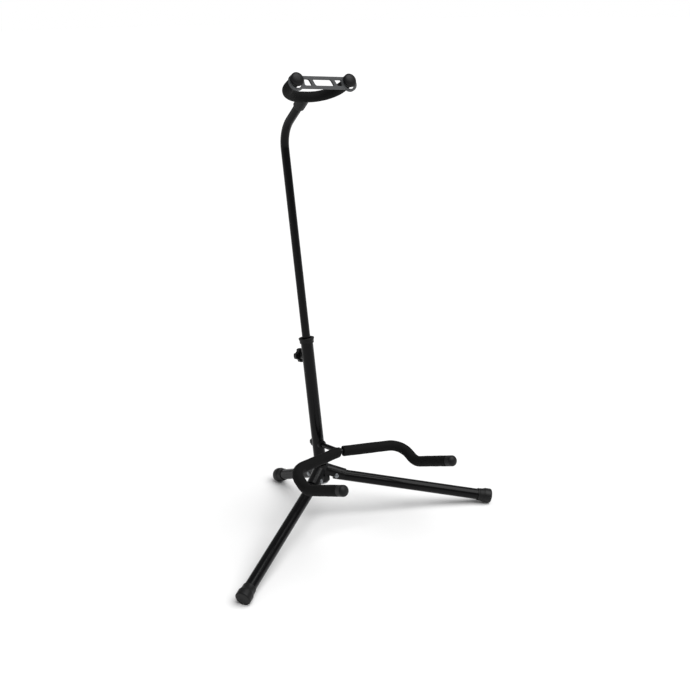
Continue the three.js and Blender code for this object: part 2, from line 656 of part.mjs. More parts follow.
// Mushroom button about Y at the end of an arm; the strap loops round its neck.
function yokeButton() {
  const bore = yokeFoamInner;
  const socket = BUTTON_SOCKET + CLEARANCE;
  return alongY(turned([
    [bore, -BUTTON_NECK], [buttonNeckRadius, -BUTTON_NECK], [buttonNeckRadius, 0],
    [BUTTON_RADIUS - 1, 0], [BUTTON_RADIUS, 1.2], [BUTTON_RADIUS, BUTTON_HEAD - 4.5],
    [BUTTON_RADIUS - 1.5, BUTTON_HEAD - 2.2], [BUTTON_RADIUS - 4.5, BUTTON_HEAD - 0.6],
    [0, BUTTON_HEAD], [0, socket], [bore, socket], [bore, -BUTTON_NECK],
  ], 18)).rotateZ(Math.PI);
}
for (const [side, sign] of [['right', 1], ['left', -1]]) {
  const button = yokeButton().translate(sign * YOKE_HALF_WIDTH, -YOKE_ARM, 0);
  yoke.add(piece(`yoke_button_${side}`, button, rubber));
}

// ---------- rubber strap ----------

const eyeletRadius = STRAP_WIDTH / 2 + EYELET_STEP;
const strapDrop = EYELET_HOLE_RADIUS - buttonNeckRadius - CLEARANCE; // it hangs on the buttons' necks

// Points of an arc round an arm of the yoke, both ends included.
function arc(x, radius, start, end, steps = 12) {
  const points = [];
  for (let i = 0; i <= steps; i++) {
    const angle = start + ((end - start) * i) / steps;
    points.push(new THREE.Vector2(x + radius * Math.cos(angle), radius * Math.sin(angle)));
  }
  return points;
}

function strapOutline() {
  const half = STRAP_WIDTH / 2;
  const corner = Math.asin(half / eyeletRadius);
  const turn = 2 * Math.PI;
  return new THREE.Shape([
    ...arc(YOKE_HALF_WIDTH, eyeletRadius, corner - Math.PI, Math.PI - corner),
    ...arc(-YOKE_HALF_WIDTH, eyeletRadius, corner, turn - corner),
  ]);
}

// The strap's openings: an eyelet at each end, and three windows between slanted rungs.
function strapOpenings() {
  const top = STRAP_WIDTH / 2 - STRAP_RAIL;
  const outer = YOKE_HALF_WIDTH - eyeletRadius;
  const slant = RUNG_SLANT / 2;
  const rung = RUNG_WIDTH / 2;
  const windows = [
    [-outer, 0, -RUNG_PLACE - rung, slant],
    [-RUNG_PLACE + rung, slant, RUNG_PLACE - rung, slant],
    [RUNG_PLACE + rung, slant, outer, 0],
  ].map(([left, leftSlant, right, rightSlant]) => [
    new THREE.Vector2(left + leftSlant, -top), new THREE.Vector2(right + rightSlant, -top),
    new THREE.Vector2(right - rightSlant, top), new THREE.Vector2(left - leftSlant, top),
  ]);
  const eyelets = [-YOKE_HALF_WIDTH, YOKE_HALF_WIDTH].map((x) =>
    arc(x, EYELET_HOLE_RADIUS, 0, 2 * Math.PI).slice(1));
  return [...windows, ...eyelets].map((points) => new THREE.Shape(points));
}

// A flat section standing across the arms, from the back of the strap forwards.
const acrossArms = (section, depth, start) =>
  new THREE.ExtrudeGeometry(section, { depth, bevelEnabled: false })
    .rotateX(Math.PI / 2).translate(0, start, -strapDrop);

const strapBack = -YOKE_ARM + CLEARANCE + STRAP_THICKNESS;
yoke.add(piece('neck_strap', cut(
  acrossArms(strapOutline(), STRAP_THICKNESS, strapBack),
  ...strapOpenings().map((opening) => acrossArms(opening, STRAP_THICKNESS + 2, strapBack + 1)),
), strapRubber));

// ---------- place on the floor ----------

const extent = new THREE.Box3().setFromObject(stand, true);
stand.position.x = -(extent.min.x + extent.max.x) / 2;
stand.position.y = -(extent.min.y + extent.max.y) / 2;
stand.updateMatrixWorld(true);

export default stand;
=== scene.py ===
import json
import math

import bpy
from mathutils import Matrix, Vector


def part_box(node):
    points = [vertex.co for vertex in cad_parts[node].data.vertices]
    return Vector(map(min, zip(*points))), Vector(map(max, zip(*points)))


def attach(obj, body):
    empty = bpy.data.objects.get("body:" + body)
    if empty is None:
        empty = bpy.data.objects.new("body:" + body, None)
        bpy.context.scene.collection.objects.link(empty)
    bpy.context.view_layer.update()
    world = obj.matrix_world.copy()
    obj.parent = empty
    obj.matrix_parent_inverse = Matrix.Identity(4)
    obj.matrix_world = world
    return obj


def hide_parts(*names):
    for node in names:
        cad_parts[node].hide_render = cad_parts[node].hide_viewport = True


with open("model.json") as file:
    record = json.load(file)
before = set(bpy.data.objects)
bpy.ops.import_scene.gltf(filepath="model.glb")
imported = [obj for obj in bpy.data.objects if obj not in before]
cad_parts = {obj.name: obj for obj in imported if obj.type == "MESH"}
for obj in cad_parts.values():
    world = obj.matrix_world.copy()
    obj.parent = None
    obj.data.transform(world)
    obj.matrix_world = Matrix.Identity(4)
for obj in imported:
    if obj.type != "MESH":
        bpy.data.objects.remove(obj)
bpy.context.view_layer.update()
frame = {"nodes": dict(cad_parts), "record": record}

# ---------------------------------------------------------------- lower tube of the mast
# Seam-welded steel tube, cut square at both ends. It leans back on the three legs, so every
# piece on it is drawn upright round the place where the leg axes meet, and then laid on the
# tube. It is powder coated gloss black, which leaves a faint orange peel under the shine.

LEG_DROP = math.radians(16.5)
PIVOT_DISTANCE = 0.0275
TUBE_RADIUS = 0.011
TUBE_WALL = 0.0012
TUBE_LENGTH = 0.267
FIT_GAP = 0.0002  # between pieces that are pushed together
SEAT_GAP = 0.0003  # where one piece stops against another

joints = {joint["name"]: joint for joint in frame["record"]["behaviour"]["joints"]}
mast_up = Vector(joints["height_slide"]["axis"])
mast_back = Vector(joints["knob_turn"]["axis"])
back_leg_way = mast_back * math.cos(LEG_DROP) - mast_up * math.sin(LEG_DROP)
hub_centre = Vector(joints["leg_back_fold"]["pos_m"]) - back_leg_way * PIVOT_DISTANCE
mast_axes = Matrix((mast_back.cross(mast_up), mast_back, mast_up)).transposed()
mast = Matrix.Translation(hub_centre) @ mast_axes.to_4x4()


def middle_of(node):
    """The middle of a CAD node's box."""
    low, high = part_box(node)
    return (low + high) / 2


def height_of(node):
    """How far up the mast the middle of a CAD node is."""
    return (middle_of(node) - hub_centre).dot(mast_up)


def linear(hex_colour):
    """The linear colour, with alpha, of an sRGB hex value."""
    channels = []
    for start in (1, 3, 5):
        value = int(hex_colour[start:start + 2], 16) / 255
        channels.append(value / 12.92 if value <= 0.04045 else ((value + 0.055) / 1.055) ** 2.4)
    return (*channels, 1.0)


def add_node(material, kind, inputs=(), **settings):
    """Adds a node with its settings. Inputs are values, or the outputs of other nodes."""
    node = material.node_tree.nodes.new(kind)
    for name, value in settings.items():
        setattr(node, name, value)
    for name, value in dict(inputs).items():
        if isinstance(value, bpy.types.NodeSocket):
            material.node_tree.links.new(value, node.inputs[name])
        else:
            node.inputs[name].default_value = value
    return node


def new_material(name):
    """An empty node material."""
    material = bpy.data.materials.new(name)
    material.use_nodes = True
    material.node_tree.nodes.clear()
    return material


def draw_finish(name, grain, grain_depth, patches, colours, roughness, sockets):
    """A finish with grain this many metres across and deep, and a drift in its colour and shine."""
    material = new_material(name)
    place = add_node(material, "ShaderNodeTexCoord").outputs["Object"]
    fine = add_node(material, "ShaderNodeTexNoise", {"Vector": place, "Scale": 1 / grain, "Detail": 3.0})
    broad = add_node(material, "ShaderNodeTexNoise", {"Vector": place, "Scale": 1 / patches, "Detail": 4.0})
    relief = add_node(material, "ShaderNodeBump", {"Height": fine.outputs["Fac"], "Distance": grain_depth})
    colour = add_node(material, "ShaderNodeMix", {
        0: broad.outputs["Fac"], 6: linear(colours[0]), 7: linear(colours[1])}, data_type="RGBA")
    shine = add_node(material, "ShaderNodeMapRange", {
        "Value": broad.outputs["Fac"], "From Min": 0.3, "From Max": 0.7,
        "To Min": roughness[0], "To Max": roughness[1]})
    shader = add_node(material, "ShaderNodeBsdfPrincipled", {
        "Base Color": colour.outputs[2], "Roughness": shine.outputs["Result"],
        "Normal": relief.outputs["Normal"], **sockets})
    add_node(material, "ShaderNodeOutputMaterial", {"Surface": shader.outputs["BSDF"]})
    return material


def start_shape(add, **settings):
    """Adds a primitive with nothing else selected, and opens it for editing."""
    bpy.ops.object.select_all(action="DESELECT")
    add(**settings)
    bpy.ops.object.mode_set(mode="EDIT")


def close_shape():
    """Merges what meets, turns the faces outwards and leaves edit mode."""
    bpy.ops.mesh.select_all(action="SELECT")
    bpy.ops.mesh.remove_doubles(threshold=1e-6)
    bpy.ops.mesh.normals_make_consistent(inside=False)
    bpy.ops.object.mode_set(mode="OBJECT")
    return bpy.context.object


def extrude(shift):
    """Draws the selected ring out by this much."""
    bpy.ops.mesh.extrude_region_move(TRANSFORM_OT_translate={"value": shift})


def draw_rod(corners, radius, bend=0.0, sides=40, step=0.02, capped=False):
    """A round skin along straight runs, with a bend of its own radius, or the shared one, at each
    corner between them."""
    corners = [Vector(corner) for corner in corners]
    bends = bend if isinstance(bend, list) else [bend] * len(corners)
    run = (corners[1] - corners[0]).normalized()
    start_shape(bpy.ops.mesh.primitive_circle_add, vertices=sides, radius=radius,
                fill_type="NGON" if capped else "NOTHING",
                location=corners[0], rotation=run.to_track_quat("Z", "X").to_euler())
    place = corners[0]
    for corner, after, bend_radius in zip(corners[1:], corners[2:] + [None], [*bends, 0.0]):
        behind = (corner - place).normalized()
        turn_angle = behind.angle(after - corner) if after else 0.0
        trim = bend_radius * math.tan(turn_angle / 2)
        straight = corner - behind * trim - place
        lengths = max(1, math.ceil(straight.length / step))
        for _ in range(lengths):
            extrude(straight / lengths)
        if after:
            axis = behind.cross(after - corner).normalized()
            bend_start = corner - behind * trim
            bpy.ops.mesh.spin(
                steps=max(6, math.ceil(math.degrees(turn_angle) / 5)), angle=-turn_angle,
                center=bend_start + axis.cross(behind) * bend_radius, axis=axis)
            place = corner + (after - corner).normalized() * trim
    return close_shape()


def apply_modifier(piece, kind, **settings):
    """Adds one modifier to the piece and applies it."""
    bpy.context.view_layer.objects.active = piece
    modifier = piece.modifiers.new(kind, kind)
    for name, value in settings.items():
        setattr(modifier, name, value)
    bpy.ops.object.modifier_apply(modifier=modifier.name)


def round_edges(piece, width, segments=3):
    """Rounds the edges that turn by more than 30 degrees."""
    apply_modifier(piece, "BEVEL", width=width, segments=segments, limit_method="ANGLE",
                   angle_limit=math.radians(30))


def fit_piece(piece, name, place, body, nodes, material):
    """Lays a finished shape in its place, and gives it its finish and the body it moves with."""
    piece.name = name
    piece.data.name = name
    piece.matrix_world = place @ piece.matrix_world
    bpy.ops.object.select_all(action="DESELECT")
    piece.select_set(True)
    bpy.context.view_layer.objects.active = piece
    bpy.ops.object.transform_apply(location=True, rotation=True, scale=True)
    bpy.ops.object.shade_smooth_by_angle(angle=math.radians(40))
    apply_modifier(piece, "WEIGHTED_NORMAL", keep_sharp=True)
    piece.data.materials.clear()
    piece.data.materials.append(material)
    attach(piece, body)
    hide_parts(*nodes)


def draw_tube(corners, radius, wall, bend=0.0, rim=0.0003):
    """A tube with its wall and broken rims."""
    tube = draw_rod(corners, radius, bend)
    apply_modifier(tube, "SOLIDIFY", thickness=wall, offset=-1.0)
    round_edges(tube, rim, 2)
    return tube


# Powder melted and flowed out in the oven: its orange peel runs about 2 mm from crest to crest.
gloss_powder_coat = draw_finish(
    "gloss_black_powder_coat", grain=0.0018, grain_depth=0.00002, patches=0.012,
    colours=("#040405", "#070708"), roughness=(0.16, 0.25), sockets={"Specular IOR Level": 0.14})

tube_bottom = height_of("lower_tube") - TUBE_LENGTH / 2
tube_top = tube_bottom + TUBE_LENGTH
fit_piece(
    draw_tube([(0, 0, tube_bottom), (0, 0, tube_top)], TUBE_RADIUS, TUBE_WALL),
    "lower_tube_steel", mast, "mast", ["lower_tube"], gloss_powder_coat)

# ---------------------------------------------------------------- plug under the hub
# Cup moulded in grey polyethylene, pushed into the bottom of the tube so that only its rim and
# floor show. Its surface has the even grain of a sparked mould.

PLUG_RIM = 0.0027
PLUG_DEPTH = 0.012
PLUG_WALL = 0.002
PLUG_SHOULDER = 0.0001


def turn_shape(profile, sides=64, capped=True):
    """A ring drawn through (radius, height) pairs: capped at its start, or closing on itself."""
    radius, height = profile[0]
    start_shape(bpy.ops.mesh.primitive_circle_add, vertices=sides, radius=radius,
                location=(0, 0, height), fill_type="NGON" if capped else "NOTHING")
    for next_radius, next_height in profile[1:]:
        extrude((0, 0, next_height - height))
        if next_radius == 0:
            bpy.ops.mesh.merge(type="CENTER")
            break
        ratio = next_radius / radius
        bpy.ops.transform.resize(value=(ratio, ratio, 1), center_override=(0, 0, next_height))
        radius, height = next_radius, next_height
    return close_shape()


grey_moulding = draw_finish(
    "sparked_grey_polyethylene", grain=0.0006, grain_depth=0.00003, patches=0.01,
    colours=("#8a8c8e", "#989a9c"), roughness=(0.5, 0.6), sockets={"IOR": 1.5})

plug_radius = TUBE_RADIUS - TUBE_WALL - SEAT_GAP
plug = turn_shape([
    (TUBE_RADIUS, tube_bottom - PLUG_RIM), (TUBE_RADIUS, tube_bottom - PLUG_SHOULDER),
    (plug_radius, tube_bottom - PLUG_SHOULDER), (plug_radius, tube_bottom + PLUG_DEPTH),
    (plug_radius - PLUG_WALL, tube_bottom + PLUG_DEPTH), (plug_radius - PLUG_WALL, tube_bottom),
])
round_edges(plug, 0.0006)
fit_piece(plug, "lower_tube_plug_moulding", mast, "mast", ["lower_tube_plug"],
          grey_moulding)

# ---------------------------------------------------------------- hub sleeve
# Short thick ring turned from tube and welded round the mast. The leg channels butt against it.
# It has the same satin black coat as the pressed steel of the channels.

SLEEVE_RADIUS = 0.0143
SLEEVE_LENGTH = 0.032

# The same powder over pressed sheet, cured a little duller, with finer and sharper peel.
satin_powder_coat = draw_finish(
    "satin_black_powder_coat", grain=0.0012, grain_depth=0.00003, patches=0.006,
    colours=("#050506", "#09090a"), roughness=(0.25, 0.36), sockets={"Specular IOR Level": 0.18})

sleeve_low = height_of("hub_sleeve") - SLEEVE_LENGTH / 2
sleeve_high = sleeve_low + SLEEVE_LENGTH
sleeve = turn_shape([
    (TUBE_RADIUS + FIT_GAP, sleeve_low), (SLEEVE_RADIUS, sleeve_low), (SLEEVE_RADIUS, sleeve_high),
    (TUBE_RADIUS + FIT_GAP, sleeve_high), (TUBE_RADIUS + FIT_GAP, sleeve_low),
], capped=False)
round_edges(sleeve, 0.0008)
fit_piece(sleeve, "hub_sleeve_steel", mast, "mast", ["hub_sleeve"], satin_powder_coat)

# ---------------------------------------------------------------- leg channels
# Each is pressed from 1.6 mm sheet into a round-backed channel, open below, notched round the
# hub and welded to it. Its back slopes down onto the leg, which stops against it.

CHANNEL_RADIUS = 0.0119
CHANNEL_WALL = 0.0016
CHANNEL_SKIRT = 0.006
CHANNEL_REACH = 0.043
CHANNEL_FALL = 0.0046
CHANNEL_SLOPE = math.atan2(CHANNEL_FALL, CHANNEL_REACH - SLEEVE_RADIUS)

leg_places = {}
for side, azimuth in (("back", 90), ("right", -30), ("left", 210)):
    turned = Matrix.Rotation(math.radians(azimuth), 4, "Z") @ Matrix.Rotation(LEG_DROP, 4, "Y")
    leg_places[side] = mast @ turned


def pick(piece, test):
    """Selects the vertices whose place passes the test, in edit mode."""
    bpy.ops.mesh.select_all(action="DESELECT")
    bpy.ops.object.mode_set(mode="OBJECT")
    for vertex in piece.data.vertices:
        vertex.select = test(piece.matrix_world @ vertex.co)
    bpy.ops.object.mode_set(mode="EDIT")
    bpy.ops.mesh.select_mode(type="VERT")


def cut_away(piece, cutter):
    """Cuts one shape out of another, and removes the cutter."""
    apply_modifier(piece, "BOOLEAN", operation="DIFFERENCE", object=cutter, solver="EXACT")
    bpy.data.objects.remove(cutter)


def copy_of(piece):
    """A copy with its own mesh."""
    bpy.ops.object.select_all(action="DESELECT")
    piece.select_set(True)
    bpy.context.view_layer.objects.active = piece
    bpy.ops.object.duplicate(linked=False)
    return bpy.context.object


start_shape(bpy.ops.mesh.primitive_circle_add, vertices=64, radius=CHANNEL_RADIUS,
            rotation=(0, math.pi / 2, 0))
channel = bpy.context.object
pick(channel, lambda place: place.z < -1e-5)
bpy.ops.mesh.delete(type="VERT")
pick(channel, lambda place: place.z < 1e-5)
extrude((0, 0, -CHANNEL_SKIRT))
bpy.ops.mesh.select_all(action="SELECT")
extrude((CHANNEL_REACH, 0, 0))
channel = close_shape()
apply_modifier(channel, "SOLIDIFY", thickness=CHANNEL_WALL, offset=-1.0)
hinge_line = Matrix.Translation((CHANNEL_REACH, 0, 0))
channel.matrix_world = (
    hinge_line @ Matrix.Rotation(CHANNEL_SLOPE, 4, "Y") @ hinge_line.inverted() @ channel.matrix_world)
hub_room = turn_shape([(SLEEVE_RADIUS + FIT_GAP, -0.04), (SLEEVE_RADIUS + FIT_GAP, 0.04)])
hub_room.matrix_world = Matrix.Rotation(-LEG_DROP, 4, "Y") @ hub_room.matrix_world
cut_away(channel, hub_room)
round_edges(channel, 0.0005)
for side, place in leg_places.items():
    fit_piece(copy_of(channel), f"leg_bracket_{side}_steel", place, "mast", [f"leg_bracket_{side}"],
              satin_powder_coat)
bpy.data.objects.remove(channel)

# ---------------------------------------------------------------- rivets
# Solid steel rivets, zinc plated, with low domed heads peened over the channel's sides.

RIVET_HEAD_RADIUS = 0.0044
RIVET_HEAD_HEIGHT = 0.0018
RIVET_RADIUS = 0.0025
HEAD_START = CHANNEL_RADIUS + FIT_GAP

# Barrel plating leaves a fine dull grain about half a millimetre across, darker where it is thin.
zinc_plate = draw_finish(
    "barrel_plated_zinc", grain=0.0005, grain_depth=0.00002, patches=0.004,
    colours=("#6a6d70", "#929598"), roughness=(0.3, 0.46), sockets={"Metallic": 1.0})


def dome(radius, start, height, steps=5):
    """The (radius, height) pairs of a low dome that closes on its axis."""
    angles = [math.pi / 2 * step / steps for step in range(1, steps)]
    curve = [(radius * math.cos(angle), start + height * math.sin(angle)) for angle in angles]
    return [*curve, (0, start + height)]


upper_head = [(RIVET_RADIUS, HEAD_START), (RIVET_HEAD_RADIUS, HEAD_START),
              *dome(RIVET_HEAD_RADIUS, HEAD_START, RIVET_HEAD_HEIGHT)]
lower_head = [(radius, -height) for radius, height in reversed(upper_head[:-1])]
rivet = turn_shape([*lower_head, *upper_head], sides=32)
rivet_turn = Matrix.Rotation(math.pi / 2, 4, "X")
for side, place in leg_places.items():
    pivot = place @ Matrix.Translation((PIVOT_DISTANCE, 0, 0)) @ rivet_turn
    fit_piece(copy_of(rivet), f"leg_rivet_{side}_steel", pivot, "mast", [f"leg_rivet_{side}"],
              zinc_plate)
bpy.data.objects.remove(rivet)

# ---------------------------------------------------------------- legs
# Straight steel tubes, gloss black like the mast. A round moulded plug closes each inner end,
# and the rivet goes through tube and plug. The back leg is the short one.

LEG_RADIUS = 0.010
LEG_START = 0.02285

# Injection moulded in a spark-eroded tool, which leaves an even grain half a millimetre across.
plastic_moulding = draw_finish(
    "sparked_black_nylon", grain=0.0005, grain_depth=0.00003, patches=0.008,
    colours=("#0a0a0b", "#101011"), roughness=(0.4, 0.5),
    sockets={"IOR": 1.53, "Specular IOR Level": 0.14})

leg_ends = {}
for side, place in leg_places.items():
    middle = (middle_of(f"leg_tube_{side}") - hub_centre).dot(place.to_3x3().col[0])
    leg_ends[side] = 2 * middle - LEG_START
    leg = draw_tube([(LEG_START, 0, 0), (leg_ends[side], 0, 0)], LEG_RADIUS, TUBE_WALL)
    fit_piece(leg, f"leg_tube_{side}_steel", place, f"leg_{side}", [f"leg_tube_{side}"],
              gloss_powder_coat)
    plug_faces = frame["nodes"][f"leg_plug_{side}"].data
    plug_faces.materials.clear()
    plug_faces.materials.append(plastic_moulding)

# ---------------------------------------------------------------- feet
# Rubber caps moulded in one piece, pulled over the tube's end and wider where they stand. Each
# is worn flat along its lowest edge by the floor.

FOOT_LENGTH = 0.026
FOOT_LIP_RADIUS = 0.0112
FOOT_RADIUS = 0.0134
FOOT_BASE = 0.004
FOOT_EDGE = 0.0025
FOOT_FLARE_START = 0.0125
FOOT_FLARE_END = 0.014
# The grooved skirt below the lip: how far past the lip's radius, and how far along.
FOOT_SKIRT = ((0.0002, 0.0024), (-0.0002, 0.0028), (-0.0002, 0.0034), (0.0002, 0.0038), (0.0005, 0.009))

# Moulded rubber has a dull skin with a fine pebble and a slightly greyer bloom in places.
moulded_rubber = draw_finish(
    "moulded_black_rubber", grain=0.0007, grain_depth=0.00004, patches=0.012,
    colours=("#0b0b0c", "#121213"), roughness=(0.4, 0.55),
    sockets={"IOR": 1.52, "Specular IOR Level": 0.2})

lay_along_x = Matrix.Rotation(math.pi / 2, 4, "Y")
foot_floor = FOOT_LENGTH - FOOT_BASE
edge_arc = [(FOOT_RADIUS - FOOT_EDGE + FOOT_EDGE * math.cos(math.radians(angle)),
             FOOT_LENGTH - FOOT_EDGE + FOOT_EDGE * math.sin(math.radians(angle)))
            for angle in (0, 22, 45, 67, 90)]
foot = turn_shape([
    (LEG_RADIUS + FIT_GAP, foot_floor), (LEG_RADIUS + FIT_GAP, 0.0), (FOOT_LIP_RADIUS, 0.0),
    *[(FOOT_LIP_RADIUS + swell, along) for swell, along in FOOT_SKIRT],
    (FOOT_RADIUS - 0.0006, FOOT_FLARE_START), (FOOT_RADIUS, FOOT_FLARE_END), *edge_arc,
])
round_edges(foot, 0.0003, 2)
for side, place in leg_places.items():
    foot_start = Matrix.Translation((leg_ends[side] + FOOT_BASE + SEAT_GAP - FOOT_LENGTH, 0, 0))
    worn_foot = copy_of(foot)
    worn_foot.matrix_world = place @ foot_start @ lay_along_x @ worn_foot.matrix_world
    bpy.ops.object.transform_apply(location=True, rotation=True, scale=True)
    bpy.ops.object.mode_set(mode="EDIT")
    bpy.ops.mesh.select_all(action="SELECT")
    bpy.ops.mesh.bisect(plane_co=(0, 0, 0), plane_no=(0, 0, 1), use_fill=True, clear_inner=True)
    close_shape()
    fit_piece(worn_foot, f"leg_foot_{side}_rubber", Matrix.Identity(4), f"leg_{side}",
              [f"leg_foot_{side}"], moulded_rubber)
bpy.data.objects.remove(foot)

# ---------------------------------------------------------------- cradle rod
# One length of solid round bar, bent cold into a wide fork whose arms dip and rise again. Its
# stem is welded on at the middle, and the stem's threaded end goes through the mast.

CRADLE_ROLL = math.radians(4.5)
CRADLE_REACH = 0.068
CRADLE_HALF_WIDTH = 0.116
CRADLE_SWEEP = 0.028
CRADLE_SAG = 0.004
DIP_RUN = 0.040
CRADLE_DIP = 0.027
TIP_RUN = 0.107
TIP_INSET = 0.003
CRADLE_BEND = 0.031
MIDDLE_BEND = 0.012
BARE_ROD = 0.0055
ROD_RADIUS = 0.005
STEM_RADIUS = 0.0045
STEM_CHAMFER = 0.0005
WELD_BEAD = ((0.0066, 0.0035), (0.0063, 0.0055), (0.0052, 0.0068))  # radius, and height off the fork
BEAD_END = 0.0078
THREAD_RADIUS = 0.003
THREAD_START = 0.0117
THREAD_END = 0.0237
SADDLE_REACH = 0.0137
CAP_LENGTH = 0.017
CAP_DOME = 0.006


def threaded(start, end, radius, pitch=0.001, depth=0.0003):
    """The profile of a thread, drawn as one groove a turn."""
    turns = round((end - start) / pitch)
    profile = []
    for turn in range(turns):
        height = start + turn * pitch
        profile += [(radius, height), (radius, height + 0.3 * pitch), (radius - depth, height + 0.65 * pitch)]
    return [*profile, (radius - depth, end)]


def mirrored(place):
    """The same place on the other side."""
    return Vector((-place[0], place[1], place[2]))


def join_shapes(*shapes):
    """Makes one piece of several shapes, the last one keeping its data."""
    bpy.ops.object.select_all(action="DESELECT")
    for shape in shapes:
        shape.select_set(True)
    bpy.context.view_layer.objects.active = shapes[-1]
    bpy.ops.object.join()
    return bpy.context.object


lay_along_y = Matrix.Rotation(-math.pi / 2, 4, "X")
cradle_turn = Matrix.Translation((0, 0, height_of("stem_nut"))) @ Matrix.Rotation(CRADLE_ROLL, 4, "Y")
cradle = mast @ cradle_turn

cross_middle = Vector((0, -CRADLE_REACH, 0))
corner = Vector((CRADLE_HALF_WIDTH, -CRADLE_REACH - CRADLE_SWEEP, -CRADLE_SAG))
arm_dip = Vector((CRADLE_HALF_WIDTH, corner.y - DIP_RUN, -CRADLE_DIP))
arm_tip = Vector((CRADLE_HALF_WIDTH - TIP_INSET, arm_dip.y - TIP_RUN, 0))
tip_way = (arm_tip - arm_dip).normalized()
rod_end = arm_tip - tip_way * CAP_DOME
cap_start = arm_tip - tip_way * CAP_LENGTH

fork = draw_rod(
    [mirrored(rod_end), mirrored(arm_dip), mirrored(corner), cross_middle, corner, arm_dip, rod_end],
    ROD_RADIUS, [CRADLE_BEND, CRADLE_BEND, MIDDLE_BEND, CRADLE_BEND, CRADLE_BEND], capped=True)
stem = turn_shape([
    (STEM_RADIUS, -CRADLE_REACH), *[(radius, -CRADLE_REACH + height) for radius, height in WELD_BEAD],
    (STEM_RADIUS, -CRADLE_REACH + BEAD_END), (STEM_RADIUS, -SADDLE_REACH - SEAT_GAP - STEM_CHAMFER),
    (STEM_RADIUS - STEM_CHAMFER, -SADDLE_REACH - SEAT_GAP), (THREAD_RADIUS, -SADDLE_REACH - SEAT_GAP),
    *threaded(THREAD_START, THREAD_END, THREAD_RADIUS),
], sides=40)
stem.matrix_world = lay_along_y @ stem.matrix_world
fit_piece(join_shapes(stem, fork), "cradle_frame_steel", cradle, "mast", ["cradle_frame"],
          gloss_powder_coat)

# ---------------------------------------------------------------- fixings of the stem
# A moulded nylon saddle each side seats the stem and the nut on the round tube, then a washer
# and a hexagon nut hold it all from behind.

SADDLE_RADIUS = 0.008
SADDLE_ROOT = 0.006
WASHER_RADIUS = 0.007
WASHER_HOLE_RADIUS = 0.0032
WASHER_START = 0.0139
WASHER_END = 0.0154
NUT_RADIUS = 0.0058
NUT_HOLE_RADIUS = 0.0031
NUT_START = 0.0157
NUT_HEIGHT = 0.005

saddle_level = Matrix.Translation((0, 0, cradle_turn.translation.z))
for side, facing in (("back", 0), ("front", math.pi)):
    saddle = turn_shape([(SADDLE_RADIUS, SADDLE_ROOT), (SADDLE_RADIUS, SADDLE_REACH)])
    saddle.matrix_world = lay_along_y @ saddle.matrix_world
    cut_away(saddle, turn_shape([(TUBE_RADIUS + FIT_GAP, -0.02), (TUBE_RADIUS + FIT_GAP, 0.02)]))
    round_edges(saddle, 0.0003, 2)
    fit_piece(saddle, f"stem_saddle_{side}_moulding", mast @ saddle_level @ Matrix.Rotation(facing, 4, "Z"),
              "mast", [f"stem_saddle_{side}"], plastic_moulding)

# Blackened in hot salts and oiled, which keeps the metal's own fine turning marks.
black_oxide = draw_finish(
    "oiled_black_oxide", grain=0.0004, grain_depth=0.00001, patches=0.003,
    colours=("#2a2b2d", "#38393b"), roughness=(0.34, 0.48), sockets={"Metallic": 1.0})

washer = turn_shape([
    (WASHER_HOLE_RADIUS, WASHER_START), (WASHER_RADIUS, WASHER_START), (WASHER_RADIUS, WASHER_END),
    (WASHER_HOLE_RADIUS, WASHER_END), (WASHER_HOLE_RADIUS, WASHER_START),
], capped=False)
round_edges(washer, 0.0003, 2)
fit_piece(washer, "stem_washer_steel", cradle @ lay_along_y, "mast", ["stem_washer"],
          black_oxide)

start_shape(bpy.ops.mesh.primitive_cylinder_add, vertices=6, radius=NUT_RADIUS, depth=NUT_HEIGHT,
            location=(0, 0, NUT_START + NUT_HEIGHT / 2))
nut = close_shape()
cut_away(nut, turn_shape([(NUT_HOLE_RADIUS, 0.01), (NUT_HOLE_RADIUS, 0.03)], sides=32))
round_edges(nut, 0.0004, 2)
fit_piece(nut, "stem_nut_steel", cradle @ lay_along_y, "mast", ["stem_nut"], black_oxide)

# ---------------------------------------------------------------- cradle's foam sleeves
# Extruded closed-cell foam tube, 19 mm across, pushed onto the bar with talc before the caps.
# It has a fine matt skin of cells under a millimetre wide, and never lies perfectly round.

FOAM_RADIUS = 0.0094

# Foaming against the die leaves flat cells of about a millimetre, over lumps twice that size.
closed_cell_foam = new_material("black_closed_cell_foam")
foam_place = add_node(closed_cell_foam, "ShaderNodeTexCoord").outputs["Object"]
foam_cells = add_node(closed_cell_foam, "ShaderNodeTexVoronoi", {"Vector": foam_place, "Scale": 1 / 0.0011})
foam_lumps = add_node(closed_cell_foam, "ShaderNodeTexNoise", {
    "Vector": foam_place, "Scale": 1 / 0.0022, "Detail": 4.0})
foam_drift = add_node(closed_cell_foam, "ShaderNodeTexNoise", {
    "Vector": foam_place, "Scale": 1 / 0.006, "Detail": 5.0})
foam_height = add_node(closed_cell_foam, "ShaderNodeMath", {
    0: foam_cells.outputs["Distance"], 1: foam_lumps.outputs["Fac"]}, operation="ADD")
foam_relief = add_node(closed_cell_foam, "ShaderNodeBump", {
    "Height": foam_height.outputs["Value"], "Distance": 0.00012})
foam_colour = add_node(closed_cell_foam, "ShaderNodeMix", {
    0: foam_drift.outputs["Fac"], 6: linear("#070707"), 7: linear("#0f0f0f")}, data_type="RGBA")
foam_shader = add_node(closed_cell_foam, "ShaderNodeBsdfPrincipled", {
    "Base Color": foam_colour.outputs[2], "Normal": foam_relief.outputs["Normal"],
    "Roughness": 0.8, "IOR": 1.45, "Specular IOR Level": 0.15})
add_node(closed_cell_foam, "ShaderNodeOutputMaterial", {"Surface": foam_shader.outputs["BSDF"]})


